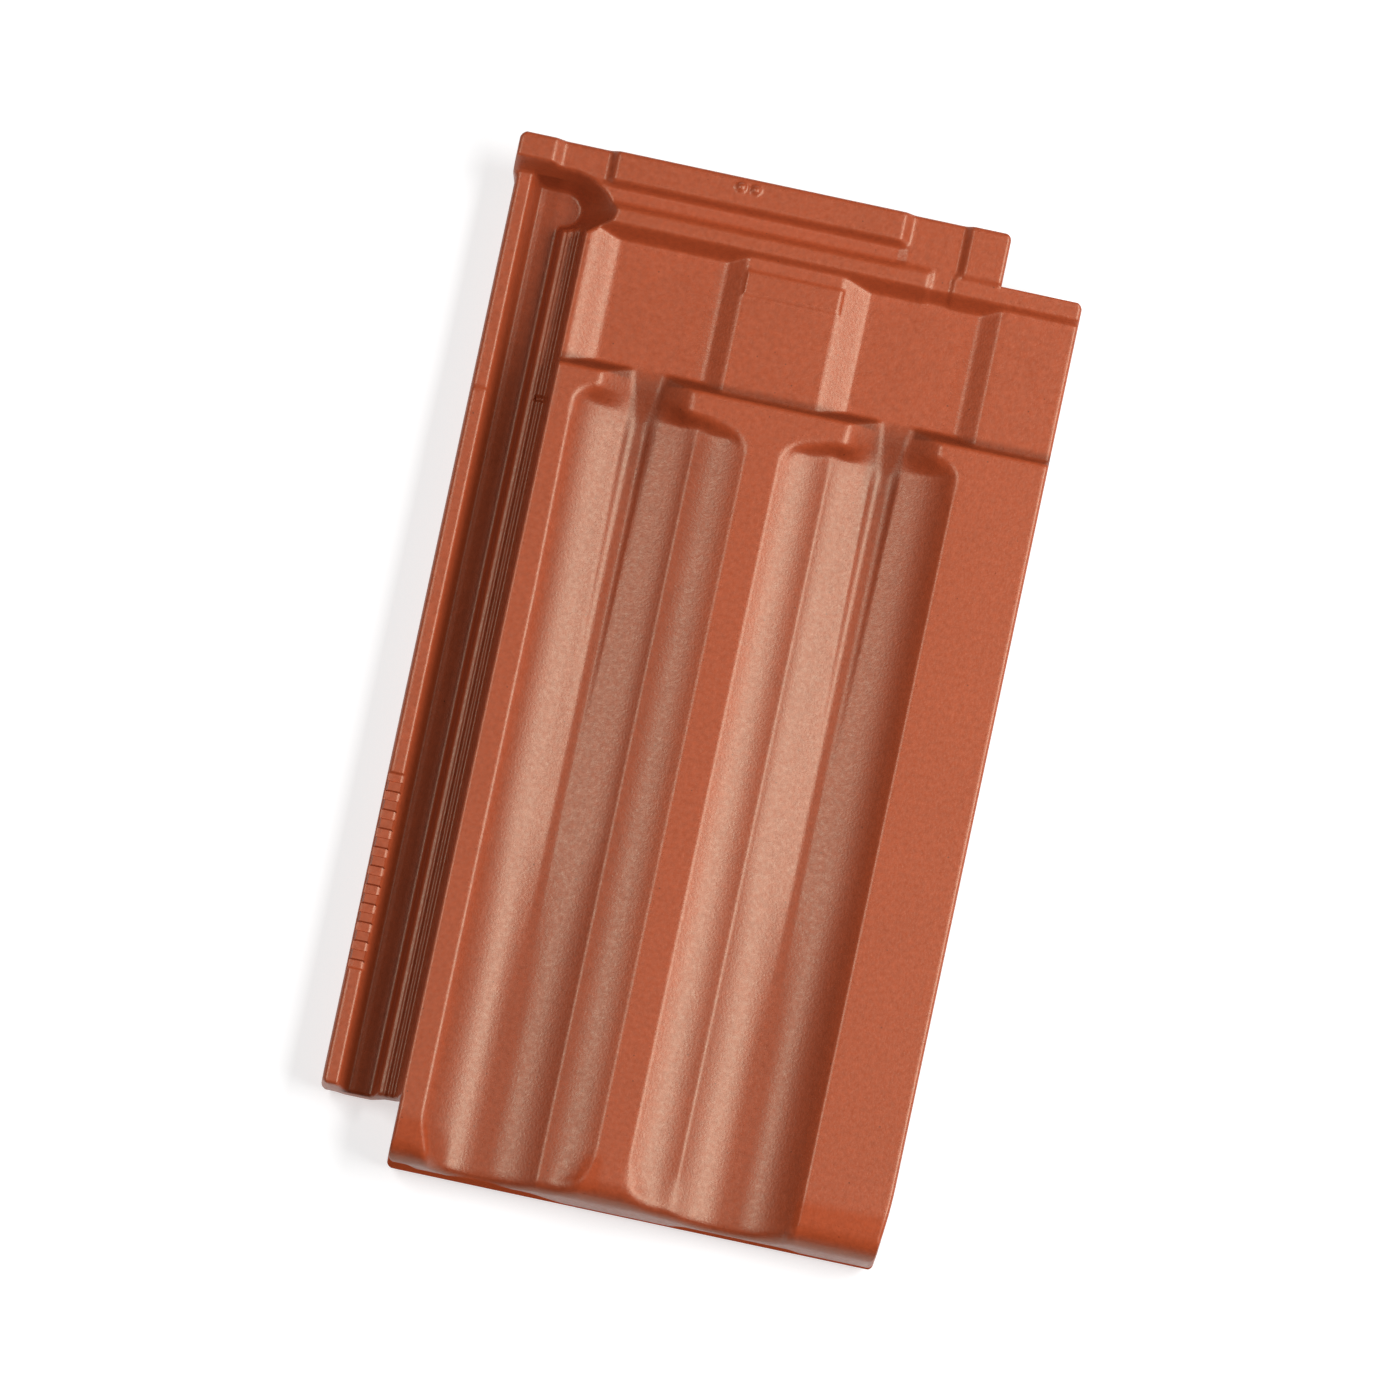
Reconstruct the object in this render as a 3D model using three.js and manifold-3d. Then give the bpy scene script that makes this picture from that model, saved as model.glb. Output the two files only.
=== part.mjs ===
// Double-trough interlocking clay roof tile, pressed and fired as one piece.
// Millimetres. +X is the tile's right side, +Y its head, +Z its weathered face.
// z = 0 is the floor that the two nibs and the hanging foot lip stand on.
import * as THREE from 'three';
import { mergeVertices } from 'three/addons/utils/BufferGeometryUtils.js';
import Module from 'manifold-3d';

const wasm = await Module();
wasm.setup();

// ---- driving dimensions ----
const headEnd = 235;            // the tile is 470 long
const footEnd = -235;
const sideEdge = 130.4;         // the body is 260.8 wide
const headBulge = 1.7;          // the top left block stands out past the side rib
const axisX = 3.5;              // both troughs mirror about this line

const plateauZ = 36;            // top of the rolls
const crestZ = 29.7;            // ridge between a flute and a trough
const panZ = 22;                // trough floor
const highPanelZ = 33;
const lowPanelZ = 27.2;
const bandZ = 38.5;             // head band
const bandLowZ = 35;            // the low places in the head band
const ridgeZ = 36.5;            // second head ridge
const grooveZ = 33.5;           // floor of the head groove
const floorZ = 13.5;            // floor of the side channel

const fluteEdge = 8.1;          // distances from axisX across the tile
const crest = 31;
const panLow = 57;
const panEdge = 87.8;
const panBottom = [54.2, 57.8]; // flat bottom of a trough
const spoutIn = 35.7;           // the spout over each trough lies between these
const spoutOut = 77.9;
const noseIn = [29, 50];        // where the rounding of the foot edge changes from roll to trough
const noseOut = [64, 88];

const panelAxis = 2.6;          // the head panels mirror about this line
const panelIn = [20.7, 33.9];   // slopes between the high and low head panels
const panelOut = [80.5, 94.5];

const lapEdge = -94.3;          // left edge of the roll beside the side lap
const lapFoot = -206.3;         // the side lap ends here
const coverHead = 211;          // the cover side starts here
const coverStep = 93;           // right end of the head block
const channelEdge = -106.6;     // right side of the channel floor, and centre of its head bowl

const panFoot = -228;           // stations along the tile
const fluteHead = 125;
const panHead = 128.8;
const stepFoot = 135.2;         // the shelf steps down to the head panels
const lapRibsHead = 200;
const ridgeFoot = 203;
const bowlAt = 208;
const ridgeHead = 209.7;
const grooveFoot = 212.6;
const grooveHead = 219.1;
const bandFoot = 221.5;
const channelHead = 223.4;

const bottomSlope = 0.27;       // the sides of a trough leave its bottom this steeply at the head,
const bottomFade = [-145, -70]; // and level at the foot
const crestSlope = 0.62;        // and arrive this steeply at the crest and at the outer edge
const panEdgeSlope = 0.937;
const stepSlope = 1.25;
const ridgeSlope = 1.7;
const channelWallSlope = 3.52;
const bowlRadius = 8.3;
const bowlSlope = [1.47, 2.05]; // towards the side, and what the slope gains towards the head

const fluteHeadCorner = [25, 13];   // rounded trough corners: length across, length along
const panHeadCorner = [10, 10];
const fluteFootCorner = [22, 12];
const panFootCorner = [6, 3];
const footCornerRise = 16;      // the foot corners rise to the rolls over this distance
const footCornerFade = 0.55;    // and fade out from this share of their length across
const widerAt = [36, 48];       // the head wall is further up beyond these

const gullyInner = [54, 50.9];  // the narrow gully in each trough, and where it opens into a V
const gullyOuter = [57.8, 62.8];
const gullyOpens = [117.5, 141];
const gullyWall = 0.8;          // slope of its walls
const bankSlope = 0.32;         // and of the banks below them
const bankInner = 1.7;
const bankOuter = 2.5;

const noseRadius = 12;          // the foot edge is rounded more on the rolls than in the troughs,
const panNoseRadius = 3;
const apron = [7, 17.5];        // where the floor bends down to it over this length, at this radius
const footSkinZ = 8;            // underside of the foot edge, in front of the hanging lip
const lipFront = -232;
const lipBack = -226.5;
const nibWidth = 34;
const nibFoot = 190;            // the face that bears on the batten
const nibHead = 204;
const nibCentre = 57;
const nibLean = 5;              // the nib widens this much towards its root
const nibRootZ = 26;            // inside the tile's own thickness
const cornerRadius = 3.2;
const bumpAt = [-30.2, -23.6];  // two stacking bumps on the head band
const bumpStation = 230;
const bumpRadius = 2.6;

// ---- small maths ----
const clamp = (t) => Math.min(1, Math.max(0, t));
const ramp = (v, from, to) => clamp((v - from) / (to - from));
const mix = (a, b, t) => a + (b - a) * t;
const smooth = (t) => t * t * (3 - 2 * t);
const ellipse = (t) => Math.sqrt(1 - clamp(t) ** 2);

function alongLine(points, v) {
  for (let i = 1; i < points.length; i += 1) {
    const [x0, z0] = points[i - 1];
    const [x1, z1] = points[i];
    if (v <= x1) return mix(z0, z1, ramp(v, x0, x1));
  }
  return points[points.length - 1][1];
}

// ---- the weathered face ----
// Side lap: outer rib, deep channel, two fine ribs, then the wall of the roll.
const lapSection = [
  [-134, 24.5], [-130.4, 24.5], [-129, 25.5], [-122.9, 25.5], [-118.8, 14.6], [-117.4, floorZ],
  [channelEdge, floorZ], [-105.4, 20.8], [-104.4, 22], [-100.4, 22.2], [-99.1, 23.5], [-97.8, 22.8],
  [-96.6, 24.2], [-95.5, 23.2], [-94.9, plateauZ],
];
const bandSection = [
  [-134, bandZ], [-114.6, bandZ], [-111.9, bandLowZ], [-90.4, bandLowZ], [-86.8, bandZ],
  [44.7, bandZ], [48.7, bandLowZ], [72, bandLowZ], [75.6, bandZ], [134, bandZ],
];
const ridgeSection = [
  [-134, ridgeZ], [59.9, ridgeZ], [62.5, bandLowZ], [70.5, bandLowZ], [72.4, ridgeZ], [134, ridgeZ],
];
const grooveSection = [
  [-134, grooveZ], [44.7, grooveZ], [48.7, bandLowZ], [72, bandLowZ], [75.6, bandZ], [134, bandZ],
];
const gullyFloor = [[-30, panZ], [112, 20.6], [118, 20.9], [123, 22.5], [133, 26.2], [139.5, lowPanelZ]];
const wallFoot = [
  [16, 118], [24, 118.3], [31, 120.6], [44, 120], [55, 120.2], [63, 120.8], [80, 121.5],
];

const innerEdge = (y) => mix(...gullyInner, ramp(y, ...gullyOpens));
const outerEdge = (y) => mix(...gullyOuter, ramp(y, ...gullyOpens));

// Height over the floor of the gully: a gentle bank on each side, then a wall.
function gullySide(s, y, slope) {
  const side = (away, bank) => bankSlope * bank * ramp(away, 0, bank) + slope * Math.max(0, away - bank);
  return side(innerEdge(y) - s, bankInner) + side(s - outerEdge(y), bankOuter);
}

// The side of a trough leaves the bottom at one slope and meets the top at another.
function risingSide(s, bottom, top, rise, startSlope, endSlope) {
  const width = Math.abs(top - bottom);
  const t = ramp(s, bottom, top);
  const start = startSlope * width;
  return start * t + (rise - start) * t ** ((endSlope * width - start) / (rise - start));
}

function troughSection(s, y) {
  if (s < crest) return mix(crestZ, plateauZ, ((crest - s) / (crest - fluteEdge)) ** 2);
  const steep = bottomSlope * ramp(y, ...bottomFade);
  const rise = s < panLow
    ? risingSide(s, panBottom[0], crest, crestZ - panZ, steep, crestSlope)
    : risingSide(s, panBottom[1], panEdge, plateauZ - panZ, steep, panEdgeSlope);
  return Math.min(panZ + rise, alongLine(gullyFloor, y) + gullySide(s, y, gullyWall));
}

function panelSection(x) {
  const s = Math.abs(x - panelAxis);
  const inner = ramp(s, ...panelIn);
  const outer = ramp(s, ...panelOut);
  const low = mix(inner, smooth(inner), 0.5) - mix(outer, smooth(outer), 0.5);
  return mix(highPanelZ, lowPanelZ, low);
}

// The shelf above a trough, with the spout cut through it.
function spoutSection(s, y) {
  const floor = alongLine(gullyFloor, y) + gullySide(s, y, 0);
  if (s < panLow) return mix(plateauZ, floor, ramp(s, spoutIn, innerEdge(y) - bankInner));
  return mix(floor, plateauZ, ramp(s, outerEdge(y) + bankOuter, spoutOut));
}

// How far the rounded corners pull the end of a trough inwards.
function cornerPull(s, flute, pan) {
  const inner = flute[1] * (1 - ellipse((fluteEdge + flute[0] - s) / flute[0]));
  const outer = pan[1] * (1 - ellipse((s - panEdge + pan[0]) / pan[0]));
  return Math.max(inner, outer);
}

const inTrough = (s) => s >= fluteEdge && s <= panEdge;

// The rolls come round the corners of a trough at its foot.
function footCorner(height, y, away, corner) {
  const pull = corner[1] * (1 - ellipse((corner[0] - away) / corner[0]));
  const fade = 1 - smooth(ramp(away, footCornerFade * corner[0], corner[0]));
  return mix(height, plateauZ, fade * smooth(ramp(panFoot + pull - y, 0, footCornerRise)));
}

function troughTop(s, y) {
  if (!inTrough(s)) return plateauZ;
  let height = footCorner(troughSection(s, y), y, s - fluteEdge, fluteFootCorner);
  height = footCorner(height, y, panEdge - s, panFootCorner);
  const straight = mix(fluteHead, panHead, smooth(ramp(s, ...widerAt)));
  const head = straight - cornerPull(s, fluteHeadCorner, panHeadCorner);
  const foot = Math.min(alongLine(wallFoot, s), head - 3);
  return mix(height, spoutSection(s, Math.max(y, head)), ramp(y, foot, head));
}

function bodyTop(x, y) {
  const s = Math.abs(x - axisX);
  const step = plateauZ - stepSlope * (y - stepFoot);
  const relief = y > stepFoot ? Math.max(panelSection(x), step) : troughTop(s, y);
  return Math.min(spoutSection(s, y), relief) - noseDrop(s, y);
}

function noseDrop(s, y) {
  const onRoll = s < panLow ? 1 - ramp(s, ...noseIn) : ramp(s, ...noseOut);
  const radius = mix(panNoseRadius, noseRadius, onRoll);
  const gap = Math.max(0, y - footEnd);
  const bend = (1 - onRoll) * Math.max(0, apron[0] - gap) ** 2 / (2 * apron[1]);
  return bend + radius - Math.sqrt(radius ** 2 - Math.max(0, radius - gap) ** 2);
}

function bowl(x, y) {
  const across = Math.max(0, x - channelEdge);
  const reach = Math.hypot(across, y - bowlAt) + 1e-9;
  const slope = bowlSlope[0] + bowlSlope[1] * ((y - bowlAt) / reach) ** 2;
  return floorZ + slope * Math.max(0, reach - bowlRadius);
}

function topHeight(x, y) {
  const lap = alongLine(lapSection, x);
  const band = alongLine(bandSection, x);
  if (x <= channelEdge) {
    const wall = bandZ - channelWallSlope * (channelHead - y);
    return Math.max(lap, Math.min(band, wall));
  }
  const ridge = alongLine(ridgeSection, x);
  if (y < lapRibsHead) {
    const body = Math.max(bodyTop(x, y), ridge - ridgeSlope * (ridgeFoot - y));
    return Math.min(x < lapEdge ? Math.min(lap, body) : body, bowl(x, y));
  }
  const head = alongLine([
    [ridgeFoot, ridge], [ridgeHead, ridge], [grooveFoot, alongLine(grooveSection, x)],
    [grooveHead, alongLine(grooveSection, x)], [bandFoot, band], [headEnd, band],
  ], y);
  const rise = y < ridgeFoot ? Math.max(bodyTop(x, y), ridge - ridgeSlope * (ridgeFoot - y)) : head;
  return Math.min(rise, bowl(x, y));
}

// ---- the underside ----
const undersideSection = [
  [-134, footSkinZ], [-123, footSkinZ], [-119.5, 5.5], [-107, 5.5], [-101, 14], [-95.5, 15],
  [-91, 22], [-86, 22], [-79, 16.5], [-72, 12.5], [-62, 10], [-45, 10], [-35, 12.5], [-26, 17.5],
  [-8, 19.5], [-2, 24], [9, 24], [15, 19.5], [33, 17.5], [42, 12.5], [52, 10], [69, 10],
  [79, 12.5], [86, 19], [91, 27], [104.8, 27], [108.3, 18.5], [113.8, 18.5], [117.5, 27], [134, 27],
];
const headUnderside = [
  [-134, footSkinZ], [-123, footSkinZ], [-119.5, 5.5], [-98, 5.5], [-91, 17], [86, 17], [91, 27],
  [104.8, 27], [108.3, 18.5], [113.8, 18.5], [117.5, 27], [134, 27],
];
const hangingLip = [
  [-134, 5], [-88, 5], [-79, 0], [-29.5, 0], [-19.5, 5], [26.5, 5], [36.5, 0], [86, 0], [95, 5],
  [134, 5],
];
const underBandZ = 22;
const undersideStations = [-240, lipFront - 1, lipFront, lipBack, lipBack + 3.5, 118, 128, 216, 225, 240];

function undersideHeight(x, y) {
  const lip = alongLine(hangingLip, x);
  const middle = alongLine(undersideSection, x);
  const head = alongLine(headUnderside, x);
  const heights = [footSkinZ, footSkinZ, lip, lip, middle, middle, head, head];
  heights.push(Math.max(underBandZ, head), Math.max(underBandZ, head));
  return alongLine(undersideStations.map((station, i) => [station, heights[i]]), y);
}

// ---- solids ----
function toSolid(geometry) {
  geometry.deleteAttribute('normal');
  geometry.deleteAttribute('uv');
  const merged = mergeVertices(geometry, 1e-4);
  return new wasm.Manifold(new wasm.Mesh({
    numProp: 3,
    vertProperties: new Float32Array(merged.attributes.position.array),
    triVerts: new Uint32Array(merged.index.array),
  }));
}

// A block whose upper and lower faces follow two height functions over a grid.
function reliefBlock(xLines, yLines, lowerHeight, upperHeight, place = (x, y) => [x, y]) {
  const nx = xLines.length - 1;
  const ny = yLines.length - 1;
  const block = new THREE.BoxGeometry(1, 1, 1, nx, ny, 1);
  const position = block.attributes.position;
  for (let i = 0; i < position.count; i += 1) {
    const station = yLines[Math.round((position.getY(i) + 0.5) * ny)];
    const line = xLines[Math.round((position.getX(i) + 0.5) * nx)];
    const [x, y] = place(line, station);
    const height = position.getZ(i) > 0 ? upperHeight : lowerHeight;
    position.setXYZ(i, x, y, height(x, y));
  }
  return toSolid(block);
}

function bothSides(distances) {
  return distances.flatMap((s) => [axisX - s, axisX + s]).filter((x) => x > lapEdge);
}

function sorted(values) {
  const rounded = values.map((v) => Math.round(v * 1000) / 1000);
  return [...new Set(rounded)].sort((a, b) => a - b);
}

// Grid lines bend with the opening gully and with the rounded heads of the troughs.
const headFollow = [[96, 0], [112, 1], [129, 1], [134, 0]];
const spreadEnds = [39, 76];    // lines nearer to the axis or further out stay straight
const wallTops = [gullyInner[0] - 4.3, gullyOuter[0] + 4.9];

function place(line, station) {
  const s = Math.abs(line - axisX);
  if (!inTrough(s)) return [line, station];
  const opened = station > gullyOpens[1] + 2 ? 0 : 1;
  const inward = (innerEdge(station) - gullyInner[0]) * ramp(s, spreadEnds[0], wallTops[0]);
  const outward = (outerEdge(station) - gullyOuter[0]) * ramp(s, spreadEnds[1], wallTops[1]);
  const spread = opened * mix(inward, outward, ramp(s, gullyInner[0], gullyOuter[0]));
  const headPull = cornerPull(s, fluteHeadCorner, panHeadCorner) * alongLine(headFollow, station);
  return [line + Math.sign(line - axisX) * spread, station - headPull];
}

const gullyLines = [
  wallTops[0], gullyInner[0] - bankInner, gullyInner[0],
  gullyOuter[0], gullyOuter[0] + bankOuter, wallTops[1],
];
const topXLines = sorted([
  ...lapSection.map(([x]) => x), -114.6, -111.9, -102.4, -92.4, -90.4, -88.6, -86.8,
  ...bothSides([
    fluteEdge + 0.01, 9.5, 11.5, 14.5, 18.5, 23, 28, crest, spoutIn, 36, 39, 42, ...gullyLines,
    69.5, 73.7, spoutOut, 80.5, 83, 85.3, 86.9, panEdge - 0.01,
  ]),
  ...[...panelIn, ...panelOut].flatMap((s) => [panelAxis - s, panelAxis + s]),
  44.7, 48.7, 59.9, 62.5, 70.5, 72.4, 75.6, 134,
]);
const topYLines = sorted([
  -236, footEnd, -234.6, -233.8, -232.6, -231.1, -229.6, -228, -226, -223.5, -220.5, -217, -212,
  -200, ...bottomFade, -30, 96, 106, 112, 115, 117, 118.5, 120, 121.3, 122.5, 124, 125.5, 127, panHead,
  131, 133, stepFoot, 137.5, 139.5, gullyOpens[1], 142.5, 194, 196.9, 198.7, lapRibsHead, 200.6,
  ridgeFoot, 206.2, ridgeHead, grooveFoot, 215.7, grooveHead, bandFoot, channelHead, 236,
]);

function roundedOutline(corners) {
  const shape = new THREE.Shape();
  corners.forEach(([x, y, radius = cornerRadius], i) => {
    const here = new THREE.Vector2(x, y);
    const before = new THREE.Vector2(...corners.at(i - 1).slice(0, 2));
    const after = new THREE.Vector2(...corners[(i + 1) % corners.length].slice(0, 2));
    const start = here.clone().lerp(before, radius / here.distanceTo(before));
    const end = here.clone().lerp(after, radius / here.distanceTo(after));
    if (i === 0) shape.moveTo(start.x, start.y);
    else shape.lineTo(start.x, start.y);
    shape.quadraticCurveTo(x, y, end.x, end.y);
  });
  shape.closePath();
  return shape;
}

const outline = roundedOutline([
  [lapEdge, footEnd], [sideEdge - 3, footEnd, 5], [sideEdge, footEnd + 30, 20],
  [sideEdge, coverHead], [coverStep, coverHead, 1.5], [coverStep, headEnd, 5],
  [-sideEdge - headBulge, headEnd, 4], [-sideEdge - headBulge, bandFoot - 1, 1.5],
  [-sideEdge, bandFoot - 6, 1.5], [-sideEdge, lapFoot], [lapEdge, lapFoot, 1],
]);

function nib(x) {
  const side = new THREE.Shape();
  side.moveTo(nibFoot, 0);
  side.lineTo(nibHead, 0);
  side.lineTo(nibHead + nibLean, nibRootZ);
  side.lineTo(nibFoot, nibRootZ);
  side.closePath();
  const block = new THREE.ExtrudeGeometry(side, { depth: nibWidth, bevelEnabled: false });
  // the shape's x runs along +Y, its y along +Z, and it is pushed out along +X
  block.applyMatrix4(new THREE.Matrix4().makeBasis(
    new THREE.Vector3(0, 1, 0), new THREE.Vector3(0, 0, 1), new THREE.Vector3(1, 0, 0),
  ));
  block.translate(x - nibWidth / 2, 0, 0);
  return toSolid(block);
}

function stackingBump(x) {
  const bump = new THREE.SphereGeometry(bumpRadius, 12, 8);
  bump.scale(1, 1, 0.8);
  bump.translate(x, bumpStation, bandZ);
  return toSolid(bump);
}

const crown = reliefBlock(topXLines, topYLines, () => -4, topHeight, place);
const hollow = reliefBlock(
  sorted([...undersideSection, ...hangingLip, ...headUnderside].map(([x]) => x)),
  undersideStations,
  () => -10,
  undersideHeight,
);
const plan = toSolid(new THREE.ExtrudeGeometry(outline, { depth: 60, bevelEnabled: false, curveSegments: 4 })
  .translate(0, 0, -6));

let tile = crown.intersect(plan).subtract(hollow);
for (const side of [-1, 1]) tile = tile.add(nib(axisX + side * nibCentre));
for (const x of bumpAt) tile = tile.add(stackingBump(x));

function toGeometry(solid) {
  const mesh = solid.getMesh();
  const geometry = new THREE.BufferGeometry();
  geometry.setAttribute('position', new THREE.BufferAttribute(mesh.vertProperties, 3));
  geometry.setIndex(new THREE.BufferAttribute(mesh.triVerts, 1));
  geometry.computeVertexNormals();
  return geometry;
}

const clay = new THREE.MeshStandardMaterial({ color: 0xb55f41, roughness: 0.5, metalness: 0 });
const tileMesh = new THREE.Mesh(toGeometry(tile), clay);
tileMesh.name = 'roof_tile';

const part = new THREE.Group();
part.add(tileMesh);
export default part;
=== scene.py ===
import math
import bpy
import numpy as np
from mathutils import Matrix, Vector


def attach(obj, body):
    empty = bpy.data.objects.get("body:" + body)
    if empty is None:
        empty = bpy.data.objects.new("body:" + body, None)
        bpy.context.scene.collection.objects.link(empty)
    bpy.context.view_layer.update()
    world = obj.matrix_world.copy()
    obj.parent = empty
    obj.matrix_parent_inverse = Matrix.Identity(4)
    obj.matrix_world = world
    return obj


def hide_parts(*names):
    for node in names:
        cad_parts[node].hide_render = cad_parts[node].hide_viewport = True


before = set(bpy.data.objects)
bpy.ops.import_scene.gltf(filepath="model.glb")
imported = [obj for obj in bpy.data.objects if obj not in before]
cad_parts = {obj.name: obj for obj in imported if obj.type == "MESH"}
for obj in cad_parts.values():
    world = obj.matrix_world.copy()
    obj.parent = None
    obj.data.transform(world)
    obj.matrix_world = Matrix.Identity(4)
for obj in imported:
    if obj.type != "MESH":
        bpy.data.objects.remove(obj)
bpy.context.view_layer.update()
mm = 0.001

# the pressed tile, in millimetres, as the solid has it
tile = {
    "headEnd": 235, "footEnd": -235, "sideEdge": 130.4, "headBulge": 1.7, "axisX": 3.5,
    "plateauZ": 36, "crestZ": 29.7, "panZ": 22, "highPanelZ": 33, "lowPanelZ": 27.2,
    "bandZ": 38.5, "floorZ": 13.5, "footEdgeZ": 8, "headEdgeZ": 22,
    "fluteEdge": 8.1, "crest": 31, "panLow": 57, "panEdge": 87.8,   # measured out from axisX
    "spoutIn": 35.7, "spoutOut": 77.9,
    "panelAxis": 2.6, "panelIn": (20.7, 33.9), "panelOut": (80.5, 94.5),
    "steepIn": (22.8, 36.4), "steepOut": (79.2, 93.2), "steepWall": [(0, 0), (0.66, 0.93), (1, 1)],
    "lapEdge": -94.3, "lapFoot": -206.3, "coverHead": 211, "coverStep": 93,
    "innerSideEnd": 14.4, "outerSideEnd": 28.1,      # how steeply the trough's sides meet the rolls
    "panelSoft": (0.15, 0.4),      # how far the panels' walls are rounded, on the inner and outer side
    "stepFoot": 135.2, "stepSlope": 1.5, "fluteHead": 125, "panHead": 128.8, "headRun": (36, 48),
    "wallFoot": [(16, 118), (24, 118.3), (31, 120.6), (44, 120), (55, 120.2), (63, 120.8), (80, 121.5)],
    "wallRun": 3, "wallMiddle": 131,
    "fluteHeadCorner": (25, 13), "panHeadCorner": (10, 10),
    "fluteFoot": -228, "cornerRise": 16, "fluteFootCorner": (22, 12), "panFoot": -226, "panFootCorner": (6, 3),
    "cornerFlat": 0.55, "lapGap": 0.01,
    "panBottom": (54.2, 57.8), "bottomSlope": 0.27, "bottomFade": (-145, -70),
    "noseIn": (5, 36), "noseOut": (70, 90), "noseRadius": 11, "panNoseRadius": 3, "apron": (7, 17.5),
    "ridgeFoot": 203, "ridgeSlope": 1.7, "ridgeHead": 209.7, "grooveFoot": 212.6, "grooveHead": 219.1,
    "bandFoot": 221.5, "channelHead": 223.4, "channelWall": 3.52,
    "bowl": (-106.5, 208), "bowlRadius": 8.3, "bowlSlope": (1.47, 2.05), "bowlFoot": 190,
    "lapRibsHead": 200, "ribStep": 118, "ribStepRun": 0.5, "ribDrop": 0.7, "ribInner": -121,
    "nibWidth": 34, "nibFoot": 190, "nibHead": 204, "nibCentre": 57,
    "nibSideSlope": 17, "nibFootSlope": 40, "nibHeadSlope": 5.2,
    "lipFace": (2, 3), "lipBack": (8.5, 12), "hollowHead": (118, 128), "headThins": (216, 225),
    "cornerRadius": 3.2, "headLeftRadius": 3.6, "footRightRadius": 2, "bulgeRun": (6, 1),
    "taperDepth": 3, "taperLength": 35,      # the cover side narrows at the foot
    "edgeRound": 1.7, "undersideRound": 1.2,
    "soften": 0.6,            # how round every pressed edge is
    "softer": 1.3, "softest": 2.4,      # the same at the heads of the troughs, and at one foot corner
}
hair = 1e-6      # a gap too small to matter
farOff = 99      # higher or farther than anything on the tile
lapSection = [(-134, 24.5), (-130.4, 24.5), (-129, 25.5), (-122.9, 25.5), (-118.8, 14.6), (-117.4, 13.5),
              (-116.6, 14), (-115.8, 13.4), (-106.6, 13.5), (-105.4, 20.8), (-104.4, 22), (-100.6, 22.2),
              (-95.6, 23.2), (-94.9, 36)]
bandSection = [(-134, 38.5), (-115.6, 38.5), (-111, 35), (-90.4, 35), (-86.8, 38.5), (44.7, 38.5),
               (48.7, 35), (72, 35), (75.6, 38.5), (134, 38.5)]
ridgeSection = [(-134, 36.5), (59.9, 36.5), (62.5, 35), (70.5, 35), (72.4, 36.5), (134, 36.5)]
grooveSection = [(-134, 33.5), (44.7, 33.5), (48.7, 35), (72, 35), (75.6, 38.5), (134, 38.5)]
undersideSection = [(-134, 8), (-123, 8), (-119.5, 5.5), (-107, 5.5), (-101, 14), (-95.5, 15), (-91, 22),
                    (-86, 22), (-79, 16.5), (-72, 12.5), (-62, 10), (-45, 10), (-35, 12.5), (-26, 17.5),
                    (-8, 19.5), (-2, 24), (9, 24), (15, 19.5), (33, 17.5), (42, 12.5), (52, 10), (69, 10),
                    (79, 12.5), (86, 19), (91, 27), (104.8, 27), (108.3, 18.5), (113.8, 18.5), (117.5, 27),
                    (134, 27)]
headUnderside = [(-134, 8), (-123, 8), (-119.5, 5.5), (-98, 5.5), (-91, 17), (86, 17), (91, 27),
                 (104.8, 27), (108.3, 18.5), (113.8, 18.5), (117.5, 27), (134, 27)]
lipSection = [(-134, 5), (-88, 5), (-79, 0), (-29.5, 0), (-19.5, 5), (26.5, 5), (36.5, 0), (86, 0),
              (95, 5), (134, 5)]


def along(points, v):
    return np.interp(v, [p[0] for p in points], [p[1] for p in points])


def ramp(v, low, high):
    return np.clip((v - low) / (high - low), 0, 1)


def mix(a, b, t):
    return a + (b - a) * t


def smooth(t):
    return t * t * (3 - 2 * t)


def ellipseRise(t):   # 0 at the end of a rounded corner, 1 where it runs straight
    return np.sqrt(1 - np.clip(t, 0, 1) ** 2)


def risingSide(t, rise, start, end):   # leaves the bottom at slope start and meets the top at slope end
    power = (end - start) / (rise - start)
    return start * t + (rise - start) * t ** power


# a narrow channel runs down each trough and opens into a V where the spout comes in
channel = {
    "inner": (54, 50.9), "outer": (57.8, 62.8), "opens": (117.5, 141), "closes": (146, 158),
    "bank": (1.7, 2.5), "bankSlope": 0.32, "wallSlope": 0.8,
    "lines": (-0.9, 0, 0.9, 1.8, 2.5, 3.2, 4), "reach": (39, 76), "beside": 4, "flat": 0.9,
}
waterFloor = [(-30, 22), (112, 20.6), (118, 20.9), (123, 22.5), (133, 26.2), (139.5, 27.2)]     # y, height


def channelEdge(side, y):
    return mix(*channel[side], ramp(y, *channel["opens"]))


def channelSide(s, y, wallSlope):   # a gentle bank and then a wall, on each side of the channel
    inner, outer = channelEdge("inner", y) - s, s - channelEdge("outer", y)
    rise = 0
    for away, bank in zip((inner, outer), channel["bank"]):
        rise = rise + channel["bankSlope"] * np.clip(away, 0, bank) + wallSlope * np.maximum(0, away - bank)
    return rise


def troughSection(s, y):
    t = tile
    flute = mix(t["crestZ"], t["plateauZ"], ramp(s, t["crest"], t["fluteEdge"]) ** 2)
    steep = t["bottomSlope"] * ramp(y, *t["bottomFade"])
    low, high = t["panBottom"]
    inner = risingSide(ramp(s, low, t["crest"]), t["crestZ"] - t["panZ"], steep * (low - t["crest"]),
                       t["innerSideEnd"])
    outer = risingSide(ramp(s, high, t["panEdge"]), t["plateauZ"] - t["panZ"], steep * (t["panEdge"] - high),
                       t["outerSideEnd"])
    pan = t["panZ"] + np.where(s < t["panLow"], inner, outer)
    water = along(waterFloor, y) + channelSide(s, y, channel["wallSlope"])
    return np.where(s < t["crest"], flute, np.minimum(pan, water))


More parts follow.
